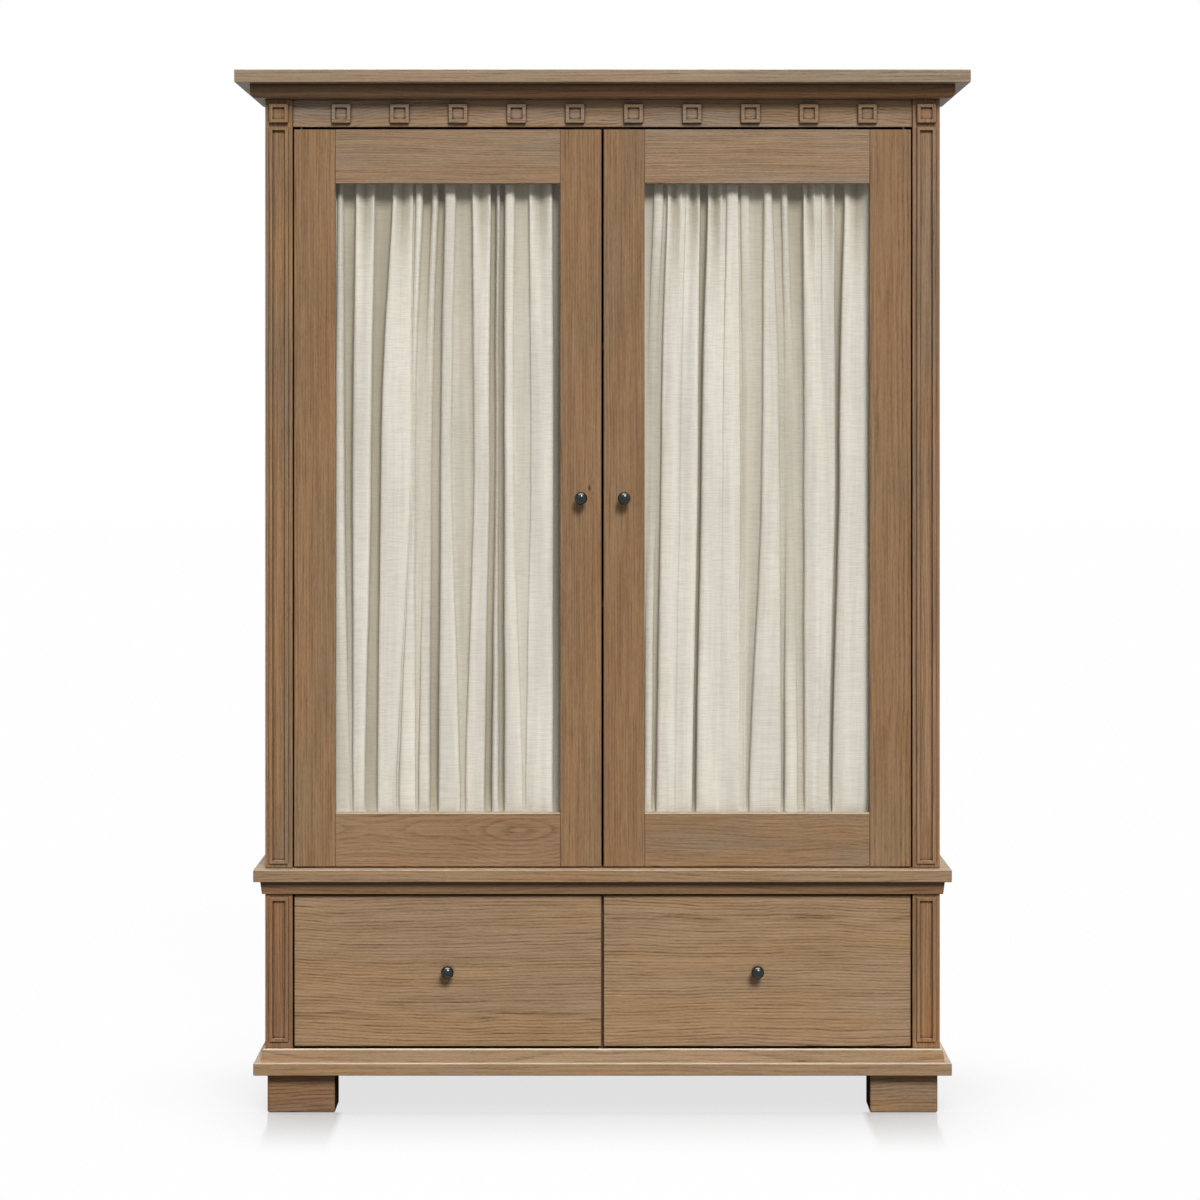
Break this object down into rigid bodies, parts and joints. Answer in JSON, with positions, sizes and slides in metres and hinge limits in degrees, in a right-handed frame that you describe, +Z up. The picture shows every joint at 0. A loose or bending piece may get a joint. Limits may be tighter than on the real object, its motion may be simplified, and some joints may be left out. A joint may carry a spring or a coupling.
{
  "type": "tall cabinet",
  "caption": "Tall wooden cabinet with curtained glass doors on pivot hinges over sliding drawers, a frieze of square rosettes, stepped mouldings and block feet.",
  "frame": {"origin": "on the floor, under the middle of the top board's outline, which is the middle of the whole cabinet's outline", "axes": "+Z up, +X to the viewer's right across the front, +Y to the back; the doors and drawers face -Y"},
  "size_m": [1.473, 0.52, 2.1],
  "materials": {
    "oak": "weathered mid-brown oak, matt oiled, open grain",
    "pale_oak": "the same oak, greyer and lighter on the top board",
    "inner_oak": "plain oak inside the case, matt",
    "glass": "clear float glass",
    "linen": "cream slubby linen, gathered",
    "dark_metal": "blackened, satin",
    "steel": "plain steel"
  },
  "bodies": {
    "cabinet": {"back_panel": "inner_oak", "cornice_moulding": "oak", "drawer_divider": "inner_oak", "drawer_rail": "oak", "frieze_board": "oak", "front_left_foot": "oak", "front_right_foot": "oak", "left_lower_hinge_pin": "steel", "left_upper_hinge_pin": "steel", "lower_left_post": "oak", "lower_left_side": "oak", "lower_right_post": "oak", "lower_right_side": "oak", "plinth_board": "oak", "plinth_moulding": "oak", "rear_left_foot": "oak", "rear_right_foot": "oak", "right_lower_hinge_pin": "steel", "right_upper_hinge_pin": "steel", "shelf_1": "inner_oak", "shelf_2": "inner_oak", "top_board": "pale_oak", "upper_left_post": "oak", "upper_left_side": "oak", "upper_right_post": "oak", "upper_right_side": "oak", "waist_board": "oak", "waist_moulding": "oak"},
    "left_door": {"left_door_bottom_rail": "oak", "left_door_bottom_rod": "steel", "left_door_curtain": "linen", "left_door_glass": "glass", "left_door_glazing_bead": "oak", "left_door_inner_stile": "oak", "left_door_knob": "dark_metal", "left_door_outer_stile": "oak", "left_door_top_rail": "oak", "left_door_top_rod": "steel"},
    "right_door": {"right_door_bottom_rail": "oak", "right_door_bottom_rod": "steel", "right_door_curtain": "linen", "right_door_glass": "glass", "right_door_glazing_bead": "oak", "right_door_inner_stile": "oak", "right_door_knob": "dark_metal", "right_door_outer_stile": "oak", "right_door_top_rail": "oak", "right_door_top_rod": "steel"},
    "left_drawer": {"left_drawer_back": "inner_oak", "left_drawer_bottom": "inner_oak", "left_drawer_front": "oak", "left_drawer_inner_side": "inner_oak", "left_drawer_knob": "dark_metal", "left_drawer_outer_side": "inner_oak"},
    "right_drawer": {"right_drawer_back": "inner_oak", "right_drawer_bottom": "inner_oak", "right_drawer_front": "oak", "right_drawer_inner_side": "inner_oak", "right_drawer_knob": "dark_metal", "right_drawer_outer_side": "inner_oak"}
  },
  "joints": [
    {"name": "left_door_hinge", "type": "hinge", "parent": "cabinet", "child": "left_door", "pos_m": [-0.6085, -0.192, 0.497], "axis": [0, 0, -1], "range_deg": [0, 110]},
    {"name": "right_door_hinge", "type": "hinge", "parent": "cabinet", "child": "right_door", "pos_m": [0.6085, -0.192, 0.497], "axis": [0, 0, 1], "range_deg": [0, 110]},
    {"name": "left_drawer_slide", "type": "slide", "parent": "cabinet", "child": "left_drawer", "axis": [0, -1, 0], "range_m": [0, 0.3]},
    {"name": "right_drawer_slide", "type": "slide", "parent": "cabinet", "child": "right_drawer", "axis": [0, -1, 0], "range_m": [0, 0.3]}
  ]
}
